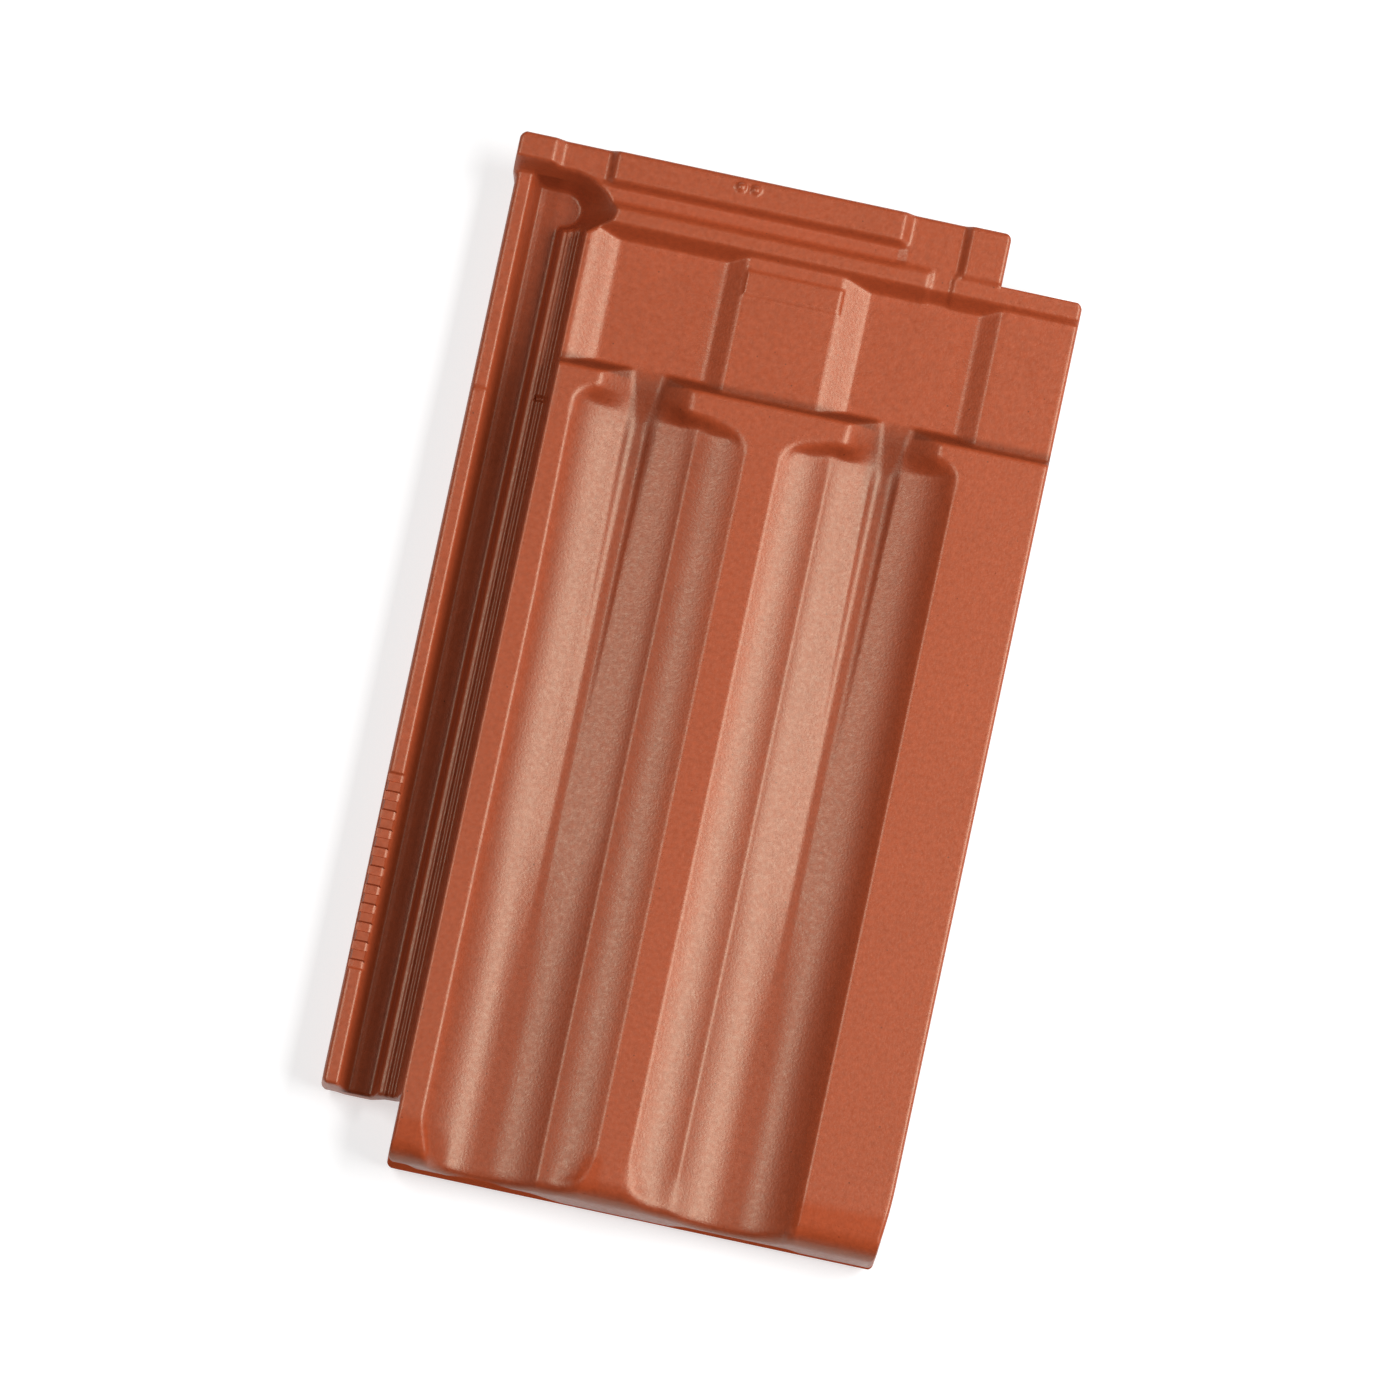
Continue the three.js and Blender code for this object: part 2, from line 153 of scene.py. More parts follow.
def panelSection(x):
    t = tile
    s = np.abs(x - t["panelAxis"])
    inner, outer = ramp(s, *t["panelIn"]), 1 - ramp(s, *t["panelOut"])
    softIn, softOut = t["panelSoft"]
    inner, outer = mix(inner, smooth(inner), softIn), mix(outer, smooth(outer), softOut)
    steepIn = along(t["steepWall"], ramp(s, *t["steepIn"]))   # the walls that face left are steeper
    steepOut = along(t["steepWall"], 1 - ramp(s, *t["steepOut"]))
    right = x > t["panelAxis"]
    low = np.minimum(np.where(right, inner, steepIn), np.where(right, steepOut, outer))
    return t["highPanelZ"] - (t["highPanelZ"] - t["lowPanelZ"]) * low


def spoutSection(s, y):   # the shelf above a trough, with the spout cut through it
    t = tile
    floor = along(waterFloor, y)
    bankIn, bankOut = channel["bank"]
    low = floor + channelSide(s, y, 0)
    inner = mix(t["plateauZ"], low, ramp(s, t["spoutIn"], channelEdge("inner", y) - bankIn))
    outer = mix(low, t["plateauZ"], ramp(s, channelEdge("outer", y) + bankOut, t["spoutOut"]))
    return np.where(s < t["panLow"], inner, outer)


# the left trough is pressed a little to the right of the mirrored one, and edges bend in at the foot
pressing = {
    # out from the axis, shift
    "shift": [(0, 0), (7.1, 1), (30.5, 0.5), (46, 0), (66, 0), (86.6, 1.2), (96, 0)],
    "outerFrom": 56, "outerFade": (30, 105),      # the outer edge's shift fades towards the head
    "footBend": [(-228, 5), (-221.5, 2.2), (-217, 0.7), (-213, 0)],      # y, how far the edges bend in
    "bendOuter": (72, 83), "bendInner": (12, 24), "innerShare": 0.6,
}


def outFromAxis(x, y):
    p = pressing
    away = np.abs(x - tile["axisX"])
    onLeft = x < tile["axisX"]
    fade = np.where(away > p["outerFrom"], 1 - ramp(y, *p["outerFade"]), 1)
    inner = p["innerShare"] * (1 - ramp(away, *p["bendInner"]))
    bend = along(p["footBend"], y) * (ramp(away, *p["bendOuter"]) * onLeft - inner)
    return away + along(p["shift"], away) * fade * onLeft + bend


def bodyRelief(x, y):
    t = tile
    s = outFromAxis(x, y)
    shelf = spoutSection(s, y)
    section = troughSection(s, y)

    # foot: the rolls come round both corners of the trough
    floor = section
    for away, (width, depth), foot in ((s - t["fluteEdge"], t["fluteFootCorner"], t["fluteFoot"]),
                                       (t["panEdge"] - s, t["panFootCorner"], t["panFoot"])):
        corner = depth * (1 - ellipseRise((width - away) / width))
        raised = smooth(ramp(foot + corner - y, 0, t["cornerRise"]))
        raised = raised * (1 - smooth(ramp(away, t["cornerFlat"] * width, width)))
        floor = mix(floor, t["plateauZ"], raised)

    # head: a wall with rounded corners in plan
    inner, outer = t["fluteHeadCorner"], t["panHeadCorner"]
    end = mix(t["fluteHead"], t["panHead"], smooth(ramp(s, *t["headRun"])))
    end = end - inner[1] * (1 - ellipseRise((t["fluteEdge"] + inner[0] - s) / inner[0]))
    end = end - outer[1] * (1 - ellipseRise((s - t["panEdge"] + outer[0]) / outer[0]))
    foot = np.minimum(along(t["wallFoot"], s), end - t["wallRun"])
    pan = mix(floor, spoutSection(s, np.maximum(y, end)), ramp(y, foot, end))
    pan = np.where((s < t["fluteEdge"]) | (s > t["panEdge"]), t["plateauZ"], pan)
    step = t["plateauZ"] - t["stepSlope"] * (y - t["stepFoot"])
    above = np.maximum(panelSection(x), step)
    return np.minimum(shelf, np.where(y > t["wallMiddle"], above, pan))


def bowlRelief(x, y):   # the rounded hollow where the side channel ends
    t = tile
    dx = np.maximum(0, x - t["bowl"][0])
    dy = y - t["bowl"][1]
    reach = np.hypot(dx, dy) + 1e-9
    slope = t["bowlSlope"][0] + t["bowlSlope"][1] * (dy / reach) ** 2
    return t["floorZ"] + slope * np.maximum(0, reach - t["bowlRadius"])


def topRelief(x, y):
    t = tile
    drop = t["ribDrop"] * ramp(y, t["ribStep"], t["ribStep"] + t["ribStepRun"])
    lap = along(lapSection, x) - drop * (x < t["ribInner"])
    band = along(bandSection, x)
    ridge, groove = along(ridgeSection, x), along(grooveSection, x)
    body = np.maximum(bodyRelief(x, y), ridge - t["ridgeSlope"] * (t["ridgeFoot"] - y))
    body = np.where(y > t["ridgeFoot"], ridge, body)
    body = mix(body, groove, ramp(y, t["ridgeHead"], t["grooveFoot"]))
    body = mix(body, band, ramp(y, t["grooveHead"], t["bandFoot"]))
    body = np.where((x < t["lapEdge"]) & (y < t["lapRibsHead"]), np.minimum(lap, body), body)
    wall = t["bandZ"] - t["channelWall"] * (t["channelHead"] - y)
    sideChannel = np.maximum(lap, np.minimum(band, wall))
    bowl = np.where(y > t["bowlFoot"], bowlRelief(x, y), farOff)
    return np.where(x < t["bowl"][0], sideChannel, np.minimum(body, bowl))


def undersideRelief(x, y):
    t = tile
    lip, middle, head = along(lipSection, x), along(undersideSection, x), along(headUnderside, x)
    (faceStart, faceEnd), (backStart, backEnd) = t["lipFace"], t["lipBack"]
    z = mix(t["footEdgeZ"], lip, ramp(y, t["footEnd"] + faceStart, t["footEnd"] + faceEnd))
    z = mix(z, middle, ramp(y, t["footEnd"] + backStart, t["footEnd"] + backEnd))
    z = mix(z, head, ramp(y, *t["hollowHead"]))
    z = mix(z, np.maximum(t["headEdgeZ"], head), ramp(y, *t["headThins"]))
    for side in (-1, 1):
        across = np.abs(x - t["axisX"] - side * t["nibCentre"]) - t["nibWidth"] / 2
        sides = np.maximum(across * t["nibSideSlope"], (t["nibFoot"] - y) * t["nibFootSlope"])
        z = np.minimum(z, np.maximum(0, np.maximum(sides, (y - t["nibHead"]) * t["nibHeadSlope"])))
    return z


# small pressed details on top of the softened relief
detail = {
    "lapRibs": [(-101.5, 1.2, 0.9), (-98.7, 1.2, 0.9), (-96.2, 0.9, 0.5)],     # x, half width, height
    "ribsEnd": (198, 199.5),
    "scaleX": (-130, -122), "scaleY": (-61.9, -152.5), "scaleDepth": 1.0,
    "scaleSide": 1, "scaleEnd": (-0.6, 0.4),
    "bumps": [(-30.2, 230), (-23.6, 230)], "bumpRadius": 2.5, "bumpHeight": 1.9, "bumpPower": 0.8,
    "plateX": (-20, 25), "plateY": (183, 195), "plateRaise": 0.7, "plateEdge": 0.9,
    "notchX": (-101.6, -97.1), "notchY": 119.4, "notchDepth": 2,
    "notchSide": (-0.3, 0.5), "notchEnd": (0.3, 1.4),
}


def plateRelief(x, y):
    inX = np.minimum(x - detail["plateX"][0], detail["plateX"][1] - x)
    inY = np.minimum(y - detail["plateY"][0], detail["plateY"][1] - y)
    return detail["plateRaise"] * smooth(ramp(np.minimum(inX, inY), 0, detail["plateEdge"]))


def detailRelief(x, y):
    z = 0
    inLap = 1 - ramp(y, *detail["ribsEnd"])
    for centre, half, height in detail["lapRibs"]:
        away = np.clip(np.abs(x - centre) / half, 0, 1)
        z = z + inLap * height * (0.5 + 0.5 * np.cos(math.pi * away))
    left, right = detail["notchX"]
    inNotch = smooth(ramp(np.minimum(x - left, right - x), *detail["notchSide"]))
    pastNotch = smooth(ramp(np.abs(y - detail["notchY"]), *detail["notchEnd"]))
    z = z - detail["notchDepth"] * inNotch * (1 - pastNotch)
    left, right = detail["scaleX"]
    side = detail["scaleSide"]
    onRib = ramp(x, left, left + side) * (1 - ramp(x, right - side, right))
    inScale = np.minimum(detail["scaleY"][0] - y, y - detail["scaleY"][1])
    z = z - detail["scaleDepth"] * onRib * smooth(ramp(inScale, *detail["scaleEnd"]))
    for bx, by in detail["bumps"]:
        away = np.clip(np.hypot(x - bx, y - by) / detail["bumpRadius"], 0, 1)
        z = z + detail["bumpHeight"] * (1 - away ** 2) ** detail["bumpPower"]
    return z + plateRelief(x, y)


# the relief is softened on a fine raster and then read wherever the surface has a point
raster = {"step": 0.5, "x": (-136, 136), "y": (-240, 240)}


def rasterPoints():
    step = raster["step"]
    xs = np.arange(raster["x"][0], raster["x"][1] + step, step)
    ys = np.arange(raster["y"][0], raster["y"][1] + step, step)
    return np.meshgrid(xs, ys)


def softened(relief, spread):
    step = raster["step"]
    z = relief(*rasterPoints())
    reach = int(math.ceil(3 * spread / step))
    weights = np.exp(-0.5 * (np.arange(-reach, reach + 1) * step / spread) ** 2)
    weights /= weights.sum()
    for axis in (0, 1):
        wide = np.pad(z, [(reach, reach) if k == axis else (0, 0) for k in (0, 1)], mode="edge")
        count = z.shape[axis]
        z = sum(w * np.take(wide, range(k, k + count), axis) for k, w in enumerate(weights))
    return z


# where the softer rounding comes in and goes: along the tile at the heads, and about one foot corner
rounding = {"from": (108, 116), "to": (129, 134), "bodySide": 4, "cornerFrom": (2, 6), "cornerTo": (38, 46),
            "foot": (211, 224)}


def softenedTop():   # rounder at the heads of the troughs and at the right one's inner foot corner
    t, r = tile, rounding
    crisp, rounder = softened(topRelief, t["soften"]), softened(topRelief, t["softer"])
    roundest = softened(lambda x, y: topRelief(np.maximum(x, t["lapEdge"]), y), t["softest"])
    xs, ys = rasterPoints()
    onBody = smooth(ramp(xs, t["lapEdge"], t["lapEdge"] + r["bodySide"]))
    z = mix(crisp, rounder, smooth(ramp(ys, *r["from"])) * (1 - smooth(ramp(ys, *r["to"]))) * onBody)
    inFrom, inTo = [t["axisX"] + v for v in r["cornerFrom"]], [t["axisX"] + v for v in r["cornerTo"]]
    inCorner = ramp(xs, *inFrom) * (1 - ramp(xs, *inTo))
    return mix(z, roundest, smooth(ramp(-ys, *r["foot"])) * inCorner)


def sample(z, x, y):
    u = (x - raster["x"][0]) / raster["step"]
    v = (y - raster["y"][0]) / raster["step"]
    i = np.clip(u.astype(int), 0, z.shape[1] - 2)
    j = np.clip(v.astype(int), 0, z.shape[0] - 2)
    fu, fv = u - i, v - j
    near = z[j, i] * (1 - fu) + z[j, i + 1] * fu
    far = z[j + 1, i] * (1 - fu) + z[j + 1, i + 1] * fu
    return near * (1 - fv) + far * fv


# plan outline: straight edges with the lines beside them slid to follow the corners
def inset(gap, radius):
    return radius - np.sqrt(np.clip(radius ** 2 - np.clip(radius - gap, 0, radius) ** 2, 0, None))


def leftEdge(y):
    t = tile
    start, end = t["bulgeRun"]
    bulge = t["headBulge"] * smooth(ramp(y, t["bandFoot"] - start, t["bandFoot"] - end))
    lap = -t["sideEdge"] - bulge + inset(y - t["lapFoot"], t["cornerRadius"])
    lap = lap + inset(t["headEnd"] - y, t["headLeftRadius"])
    return np.where(y < t["lapFoot"], t["lapEdge"] + inset(y - t["footEnd"], t["cornerRadius"]), lap)


def rightEdge(y):
    t = tile
    taper = t["taperDepth"] * np.clip((t["footEnd"] + t["taperLength"] - y) / t["taperLength"], 0, 1) ** 2
    cover = t["sideEdge"] - taper - inset(y - t["footEnd"], t["footRightRadius"])
    cover = cover - inset(t["coverHead"] - y, t["cornerRadius"])
    return np.where(y > t["coverHead"], t["coverStep"] - inset(t["headEnd"] - y, t["cornerRadius"]), cover)


def edgeDistance(x, y):
    t = tile
    d = np.minimum(x - leftEdge(y), rightEdge(y) - x)
    d = np.minimum(d, t["headEnd"] - y)
    lapFoot = np.where(x < t["lapEdge"], y - t["lapFoot"],
                       np.hypot(x - t["lapEdge"], np.maximum(0, y - t["lapFoot"])))
    coverHead = np.where(x > t["coverStep"], t["coverHead"] - y,
                         np.hypot(x - t["coverStep"], np.maximum(0, t["coverHead"] - y)))
    d = np.minimum(d, np.where(y >= t["lapFoot"], lapFoot, farOff))   # the end rows count too
    return np.minimum(d, np.where(y <= t["coverHead"], coverHead, farOff))


def noseDrop(x, y):   # the foot edge is rounded more on the rolls than in the troughs
    t = tile
    s = np.abs(x - t["axisX"])
    gap = y - t["footEnd"]
    onRoll = np.where(s < t["panLow"], 1 - ramp(s, *t["noseIn"]), ramp(s, *t["noseOut"]))
    bend = (1 - onRoll) * np.maximum(0, t["apron"][0] - gap) ** 2 / (2 * t["apron"][1])
    return bend + inset(gap, mix(t["panNoseRadius"], t["noseRadius"], onRoll))


def linesBetween(stops):   # stops are (from, to, widest gap)
    lines = []
    for low, high, gap in stops:
        parts = max(1, math.ceil((high - low) / gap))
        lines += [low + (high - low) * k / parts for k in range(parts)]
    return lines + [stops[-1][1]]


def merged(lines, extra, closest):
    kept = []
    for v in sorted([(v, 1) for v in lines] + [(v, 0) for v in extra]):
        if kept and v[0] - kept[-1][0] < closest:
            if v[1] < kept[-1][1]:
                kept[-1] = v
            continue
        kept.append(v)
    return np.array([v for v, _ in kept])


# lines that the surface is built on: from, to and the widest gap, then the extra ones beside each crease
grid = {
    "x": [(-130.4, -94.3, 0.62), (-94.3, -79, 1.1), (-79, -50, 1.25), (-50, -31, 1.25), (-31, 37, 1.6),
          (37, 60, 1.25), (60, 91, 1.2), (91, 130.4, 3)],
    "y": [(-235, -228, 0.8), (-228, -208, 1.2), (-208, -154, 9), (-154, -60, 12), (-60, 100, 8),
          (100, 112, 1.6), (112, 144, 0.75), (144, 181, 5), (181, 235, 0.8)],
    "lowX": [(-130.4, 130.4, 5)], "lowY": [(-235, 235, 12)],
    "edgeSteps": (0, 0.12, 0.45, 0.95, 1.7, 2.6),
    "besideCover": 1, "besideLap": 0.5, "belowLap": 1, "pastCover": 0.8,
    "rollLines": (-1.2, -0.6, 0, 0.6, 1.2), "leftRolls": (1, 0.5, 0.6),
    "headX": (-89, -88.6, -86.8, 44.7, 48.7, 59.9, 62.5, 70.5, 72.4, 72, 75.6), "headLines": (-0.7, 0, 0.7),
    "plateLines": (-0.2, 0.3, 0.9, 1.1), "ribLines": (-0.6, 0, 0.6),
    "scaleLines": (-1, -0.6, -0.2, 0.2, 0.6, 1),
    "nibLines": (-0.7, 0, 0.8, 1.8), "lowSide": 130,
    "lowStations": [-233.4, -232.6, -231.6, -226.5, -225, -223, 118, 123, 128, 216, 218, 220, 222.5, 225,
                    188.6, 189.4, 190, 190.8, 203.2, 204, 205, 206.6, 208.2],
    "closestLow": 0.35, "closestEdge": 0.1, "closest": 0.3, "closestCreaseY": 0.25,
    "slide": 12.0,      # how far in from the outline its lines are slid
}


def edgeLines(edge, inward):
    return [edge + inward * k for k in grid["edgeSteps"]]


def fineCreases():
    t, g = tile, grid
    edges = (t["fluteEdge"], t["crest"], t["panEdge"])
    rolls = [t["axisX"] + v for v in edges]
    rolls += [t["axisX"] - v + shift for v, shift in zip(edges, g["leftRolls"])]
    creaseX = [c + o for c in rolls for o in g["rollLines"] if c + o > t["lapEdge"]]
    creaseX += [t["axisX"] + side * (channel[edge][0] + way * o) for side in (-1, 1)
                for edge, way in (("inner", -1), ("outer", 1)) for o in channel["lines"]]
    creaseX += [x + o for x in g["headX"] for o in g["headLines"]]
    creaseX += [x + o for x in detail["plateX"] for o in g["plateLines"]]
    creaseY = [t["ribStep"] + k for k in g["ribLines"]]
    creaseY += [y + k for y in detail["scaleY"] for k in g["scaleLines"]]
    return creaseX, creaseY


def tileLines():   # fine lines for the face, and coarse ones among them for the underside
    t, g = tile, grid
    edgesX = (edgeLines(-t["sideEdge"], 1) + edgeLines(t["sideEdge"], -1) + edgeLines(t["coverStep"], -1)
              + edgeLines(t["lapEdge"], 1) + [t["coverStep"] + g["besideCover"], t["lapEdge"] - g["besideLap"]])
    edgesY = (edgeLines(t["footEnd"], 1) + edgeLines(t["headEnd"], -1) + edgeLines(t["coverHead"], -1)
              + edgeLines(t["lapFoot"], 1) + [t["lapFoot"] - g["belowLap"], t["coverHead"] + g["pastCover"]])
    lowLines = [x for x, _ in undersideSection + headUnderside + lipSection if abs(x) < g["lowSide"]]
    lowLines += [t["axisX"] + side * t["nibCentre"] + k * (t["nibWidth"] / 2 + o)
                 for side in (-1, 1) for k in (-1, 1) for o in g["nibLines"]]
    coarseX = merged(linesBetween(g["lowX"]), lowLines, g["closestLow"])
    coarseX = merged(coarseX, edgesX, g["closestEdge"])
    coarseY = merged(linesBetween(g["lowY"]), g["lowStations"], g["closestLow"])
    coarseY = merged(coarseY, edgesY, g["closestEdge"])
    creaseX, creaseY = fineCreases()
    fineX = merged(merged(linesBetween(g["x"]), creaseX, g["closest"]), list(coarseX), g["closest"])
    fineY = merged(merged(linesBetween(g["y"]), creaseY, g["closestCreaseY"]), list(coarseY), g["closest"])
    fineX = np.unique(np.round(np.concatenate([fineX, coarseX]), 4))
    fineY = np.unique(np.round(np.concatenate([fineY, coarseY]), 4))
    return fineX, fineY, np.round(coarseX, 4), np.round(coarseY, 4)


def openedOut(px, py):   # the lines beside the channel follow it where it opens
    c = channel
    away = np.abs(px - tile["axisX"])
    inner, outer = c["inner"][0], c["outer"][0]
    near, far = c["reach"]
    there = 1 - ramp(py, *c["closes"])
    toInner = (channelEdge("inner", py) - inner) * there
    toOuter = (channelEdge("outer", py) - outer) * there
    shift = np.where(away < inner - c["beside"], toInner * ramp(away, near, inner - c["beside"]), toInner)
    midway = mix(toInner, toOuter, ramp(away, inner + c["flat"], outer - c["flat"]))
    shift = np.where(away > inner + c["flat"], midway, shift)
    fading = toOuter * (1 - ramp(away, outer + c["beside"], far))
    shift = np.where(away > outer + c["beside"], fading, shift)
    return px + np.sign(px - tile["axisX"]) * shift


def placed(xs, ys):   # slide each line so that the outermost ones follow the rounded outline
    t = tile
    gx, gy = np.meshgrid(xs, ys)
    left = np.where(gy < t["lapFoot"] - hair, t["lapEdge"], -t["sideEdge"])
    right = np.where(gy > t["coverHead"] + hair, t["coverStep"], t["sideEdge"])
    px = gx + (leftEdge(gy) - left) * np.clip(1 - (gx - left) / grid["slide"], 0, 1) * (gx >= left - hair)
    px = px + (rightEdge(gy) - right) * np.clip(1 - (right - gx) / grid["slide"], 0, 1) * (gx <= right + hair)
    return openedOut(px, gy), gy


def cells(xs, ys):   # which squares of the grid lie on the tile
    t = tile
    cx, cy = np.meshgrid((xs[:-1] + xs[1:]) / 2, (ys[:-1] + ys[1:]) / 2)
    left = np.where(cy < t["lapFoot"], t["lapEdge"], -t["headEnd"])
    right = np.where(cy > t["coverHead"], t["coverStep"], t["headEnd"])
    return (cx > left) & (cx < right)


def numbered(inside):
    used = np.zeros((inside.shape[0] + 1, inside.shape[1] + 1), bool)
    for dj in (0, 1):
        for di in (0, 1):
            used[dj:used.shape[0] - 1 + dj, di:used.shape[1] - 1 + di] |= inside
    index = -np.ones(used.shape, int)
    index[used] = np.arange(used.sum())
    return used, index


def buildTile():
    t = tile
    topZ = softenedTop()
    lowZ = softened(undersideRelief, t["soften"])
    fineX, fineY, coarseX, coarseY = tileLines()
    print("tile lines", len(fineX), "by", len(fineY), "under", len(coarseX), "by", len(coarseY))
    fx, fy = placed(fineX, fineY)
    cx, cy = placed(coarseX, coarseY)
    d = np.maximum(0, edgeDistance(fx, fy))
    onBody = fx > t["lapEdge"] - t["lapGap"]
    drop = np.maximum(inset(d, t["edgeRound"]), np.where(onBody, noseDrop(fx, fy), 0))
    zTop = sample(topZ, fx, fy) + detailRelief(fx, fy) - drop
    lowDistance = np.maximum(0, np.minimum(edgeDistance(cx, cy), cy - t["footEnd"]))
    zLow = sample(lowZ, cx, cy) + inset(lowDistance, t["undersideRound"])
    insideTop, insideLow = cells(fineX, fineY), cells(coarseX, coarseY)
    usedTop, top = numbered(insideTop)
    usedLow, low = numbered(insideLow)
    low[usedLow] += usedTop.sum()
    upper = np.stack([fx[usedTop], fy[usedTop], zTop[usedTop]], 1)
    lower = np.stack([cx[usedLow], cy[usedLow], zLow[usedLow]], 1)
    faces = []
    for j, i in zip(*np.nonzero(insideTop)):
        faces.append((top[j, i], top[j, i + 1], top[j + 1, i + 1], top[j + 1, i]))
    fineOfX, fineOfY = np.searchsorted(fineX, coarseX), np.searchsorted(fineY, coarseY)
    ny, nx = insideLow.shape
    for j, i in zip(*np.nonzero(insideLow)):
        a, b, c, e = low[j, i], low[j, i + 1], low[j + 1, i + 1], low[j + 1, i]
        faces.append((e, c, b, a))
        i0, i1, j0, j1 = fineOfX[i], fineOfX[i + 1], fineOfY[j], fineOfY[j + 1]
        if j == 0 or not insideLow[j - 1, i]:
            faces.append((a, b, *top[j0, i0:i1 + 1][::-1]))
        if j == ny - 1 or not insideLow[j + 1, i]:
            faces.append((c, e, *top[j1, i0:i1 + 1]))
        if i == 0 or not insideLow[j, i - 1]:
            faces.append((e, a, *top[j0:j1 + 1, i0]))
        if i == nx - 1 or not insideLow[j, i + 1]:
            faces.append((b, c, *top[j0:j1 + 1, i1][::-1]))
    mesh = bpy.data.meshes.new("tile_surface")
    points = (np.concatenate([upper, lower]) * mm).tolist()
    mesh.from_pydata(points, [], [tuple(int(v) for v in f) for f in faces])
    mesh.polygons.foreach_set("use_smooth", [True] * len(mesh.polygons))
    obj = bpy.data.objects.new("tile_surface", mesh)
    bpy.context.collection.objects.link(obj)
    return obj


# fired clay with a satin slip; lengths in millimetres
clay = {
    "flat": (0.333, 0.0555, 0.017), "roughness": 0.405, "specular": 0.73, "tint": (1, 0.92, 0.7),
    "cloudSize": 34, "cloud": 0.07,      # broad patches of tone
    "blotchSize": 2.4, "blotch": 0.24, "blotchSheen": 0.03,     # small blotches in tone and sheen
    "sheenSize": 2, "sheen": 0.13,
    "grainSize": 1.2, "grain": 0.11,     # pressed grain, size and depth
    "noiseRoughness": 0.55,
    "pitSize": 7, "pitWide": 0.055, "pitShade": 0.55, "pitShare": 0.45,
    # painted shade: the colour is made darker by place in the troughs, their spouts, on the step and in the
    # side channel, standing in for shade the lamps don't give; low on the nose it is lighter and has no gloss
    "troughShade": 0.8, "spoutShade": 0.74, "stepShade": 0.68, "channelShade": 0.37, "bareShade": 1.4,
    "channelShine": 0.15, "spoutShine": 0.72, "footShine": 0.35,
}

# where each patch of painted shade, of lower gloss and of the lighter nose starts and is full, in millimetres
fades = {
    "troughTop": (35.3, 31), "troughHead": (143, 139), "bodySide": (-94.5, -93.5),
    "spoutInner": (45, 50), "spoutOuter": (63.5, 61.5), "spoutFoot": (60, 124), "spoutHead": (141, 133),
    "besideInner": (49, 46), "besideOuter": (63.5, 66.5),
    "stepFoot": (135, 136.5), "stepHead": (142.5, 138.5),
    "channelLeft": (-123, -119), "channelRight": (-106, -112), "channelRightLeast": 0.25,
    "lapSide": (-94.6, -96), "channelTop": (25.4, 23.8), "channelBottom": (11.5, 12.8),
    "channelHead": (215, 95), "channelHeadLeast": 0.45,
    "slipEdge": 12.5, "slipSteps": (((-12, -32), 8), ((-80, -86), 5.5), ((34, 42), 5), ((88, 96), -3.5)),
    "slipBelow": (0.7, -0.7), "noseFront": (-232, -233.5), "noseEnd": (-240, -236),
    "shineTop": (35.5, 34.5), "shineFoot": (112, 124), "leftFoot": (2, -2), "rightFoot": (52, 60),
    "footEnd": (-212, -219), "footTop": (33, 34.5),
}


def addNode(tree, kind, settings=None, **inputs):
    node = tree.nodes.new(kind)
    for name, value in (settings or {}).items():
        setattr(node, name, value)
    for name, value in inputs.items():
        counted = name.startswith("in") and name[2:].isdigit()
        socket = node.inputs[int(name[2:]) if counted else name.replace("_", " ")]
        if isinstance(value, bpy.types.NodeSocket):
            tree.links.new(value, socket)
        else:
            socket.default_value = value
    return node


def calc(tree, operation, a, b=None, c=None):
    inputs = {"in%d" % k: v for k, v in enumerate((a, b, c)) if v is not None}
    return addNode(tree, "ShaderNodeMath", {"operation": operation}, **inputs).outputs[0]


def between(tree, value, low, high, start=0.0, end=1.0):   # smooth ramp of a value in millimetres
    node = addNode(tree, "ShaderNodeMapRange", {"interpolation_type": "SMOOTHSTEP"}, Value=value,
                   From_Min=low * mm, From_Max=high * mm, To_Min=start, To_Max=end)
    return node.outputs["Result"]


def noise(tree, coords, size, octaves=3.0):
    node = addNode(tree, "ShaderNodeTexNoise", None, Vector=coords, Scale=1 / (size * mm), Detail=octaves,
                   Roughness=clay["noiseRoughness"])
    return node.outputs["Fac"]


def around(tree, value, spread, centre=1.0):   # noise turned into a factor about its centre
    return calc(tree, "MULTIPLY_ADD", calc(tree, "SUBTRACT", value, 0.5), 2 * spread, centre)


